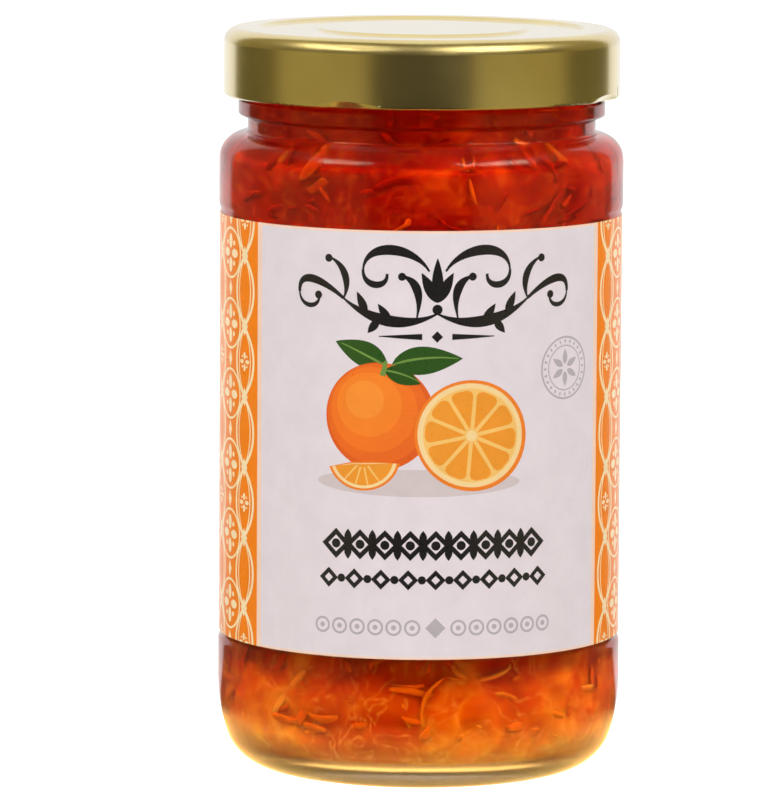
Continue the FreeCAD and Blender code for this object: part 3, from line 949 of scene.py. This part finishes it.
def draw_bands(sheet):
    """Two dark ornament bands and a grey one, in place of a label's words."""
    for k in range(-4, 5):
        x = ART_MIDDLE + k * 3.75
        sheet.disc(x, 37.4, 2.25, "black", 4)
        sheet.disc(x, 37.4, 1.25, "panel", 4)
        sheet.disc(x, 37.4, 0.7, "black", 12)
        if k < 4:
            for rise in (-1, 1):
                sheet.leaf(x + 1.875, 37.4 + rise * 0.25, 2.0, 1.15, rise * pi / 2, "black", steps=8)
    for k in range(-8, 9):
        x = ART_MIDDLE + k * 2.02
        if k % 2:
            sheet.disc(x, 32.3, 0.62, "black", 14)
        else:
            sheet.disc(x, 32.3, 1.5, "black", 4)
            sheet.disc(x, 32.3, 0.65, "panel", 4)
    sheet.disc(ART_MIDDLE, 25.2, 1.5, "grey", 4)
    for side in (-1, 1):
        for k in range(6):
            x = ART_MIDDLE + side * (3.4 + k * 2.75)
            sheet.ring(x, 25.2, 1.05, 0.34, "grey", steps=20)
            sheet.disc(x, 25.2, 0.4, "grey", 8)


def make_label():
    """The printed paper, from its orange ground to the bands on top."""
    sheet = Print()
    sheet.box(-PAPER_HALF, PAPER_BOTTOM, PAPER_HALF, PAPER_TOP, "orange")
    draw_sides(sheet)
    draw_panel(sheet)
    draw_flourish(sheet)
    draw_rosette(sheet)
    draw_fruit(sheet)
    draw_bands(sheet)
    label = print_mesh(sheet)
    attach(label, "root")
    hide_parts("label")


def strip_lines():
    """Upright lines that cut the paper into flat strips, as points and pairs of them."""
    count = int(2 * PAPER_HALF / STRIP_WIDTH)
    points, pairs = [], []
    for k in range(1, count):
        x = -PAPER_HALF + 2 * PAPER_HALF * k / count
        pairs.append((len(points), len(points) + 1))
        points += [Vector((x, PAPER_BOTTOM)), Vector((x, PAPER_TOP))]
    return points, pairs


def wrapped(place):
    """A place of the flat paper, on the jar."""
    a = place.x / PAPER_RADIUS + radians(PAPER_TURN)
    return PAPER_RADIUS * MM * sin(a), -PAPER_RADIUS * MM * cos(a), place.y * MM


def print_mesh(sheet):
    """Cuts the paper along all outlines, gives each piece the ink on top, and wraps it round the jar."""
    lines, pairs = strip_lines()
    first = len(sheet.points)
    edges = [(first + a, first + b) for a, b in pairs]
    cut = geometry.delaunay_2d_cdt(sheet.points + lines, edges, sheet.faces, 1, 1e-5)
    places, pieces, owners = cut[0], cut[2], cut[5]
    mesh = bmesh.new()
    corners = [mesh.verts.new(wrapped(place)) for place in places]
    names = list(INKS)
    for piece, shapes in zip(pieces, owners):
        if 0 in shapes:
            made = mesh.faces.new([corners[i] for i in piece])
            made.material_index = names.index(sheet.inks[max(shapes)])
    loose = [v for v in mesh.verts if not v.link_faces]
    bmesh.ops.delete(mesh, geom=loose, context="VERTS")
    bmesh.ops.recalc_face_normals(mesh, faces=mesh.faces)
    mesh.faces.ensure_lookup_table()
    middle = mesh.faces[0].calc_center_median()
    if mesh.faces[0].normal.dot(Vector((middle.x, middle.y, 0))) < 0:
        bmesh.ops.reverse_faces(mesh, faces=mesh.faces)
    bmesh.ops.solidify(mesh, geom=mesh.faces[:], thickness=(PAPER_RADIUS - PAPER_BACK) * MM)
    label = finished("paper_label", mesh, smooth=False)
    for name in names:
        label.data.materials.append(ink_material(name, INKS[name]))
    return label


def ink_material(name, colour):
    """Printed paper: a soft grain, a slightly uneven ink and a satin surface."""
    material, tree, shader = new_material(f"print_{name}")
    place = object_place(tree)
    grain = noise_texture(tree, place, 3000.0, 4.0)
    cloud = noise_texture(tree, place, 260.0, 3.0)
    dark = tuple(v * 0.965 for v in colour[:3])
    light = tuple(min(1, v * 1.02) for v in colour[:3])
    tree.links.new(ramp(tree, cloud, [(0.3, dark), (0.7, light)]), shader.inputs["Base Color"])
    tree.links.new(scaled_by(tree, grain, 0.1, 0.24), shader.inputs["Roughness"])
    add_bump(tree, shader, grain, 0.15, 0.00003)
    return material


make_camera()
make_world()
make_floor()
make_lamps()
make_gel()
make_core()
make_shreds()
dress("jar", glass_material())
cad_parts["jar"].visible_shadow = False
dress("cap", gold_material())
make_label()

bpy.context.scene.view_settings.view_transform = "Standard"
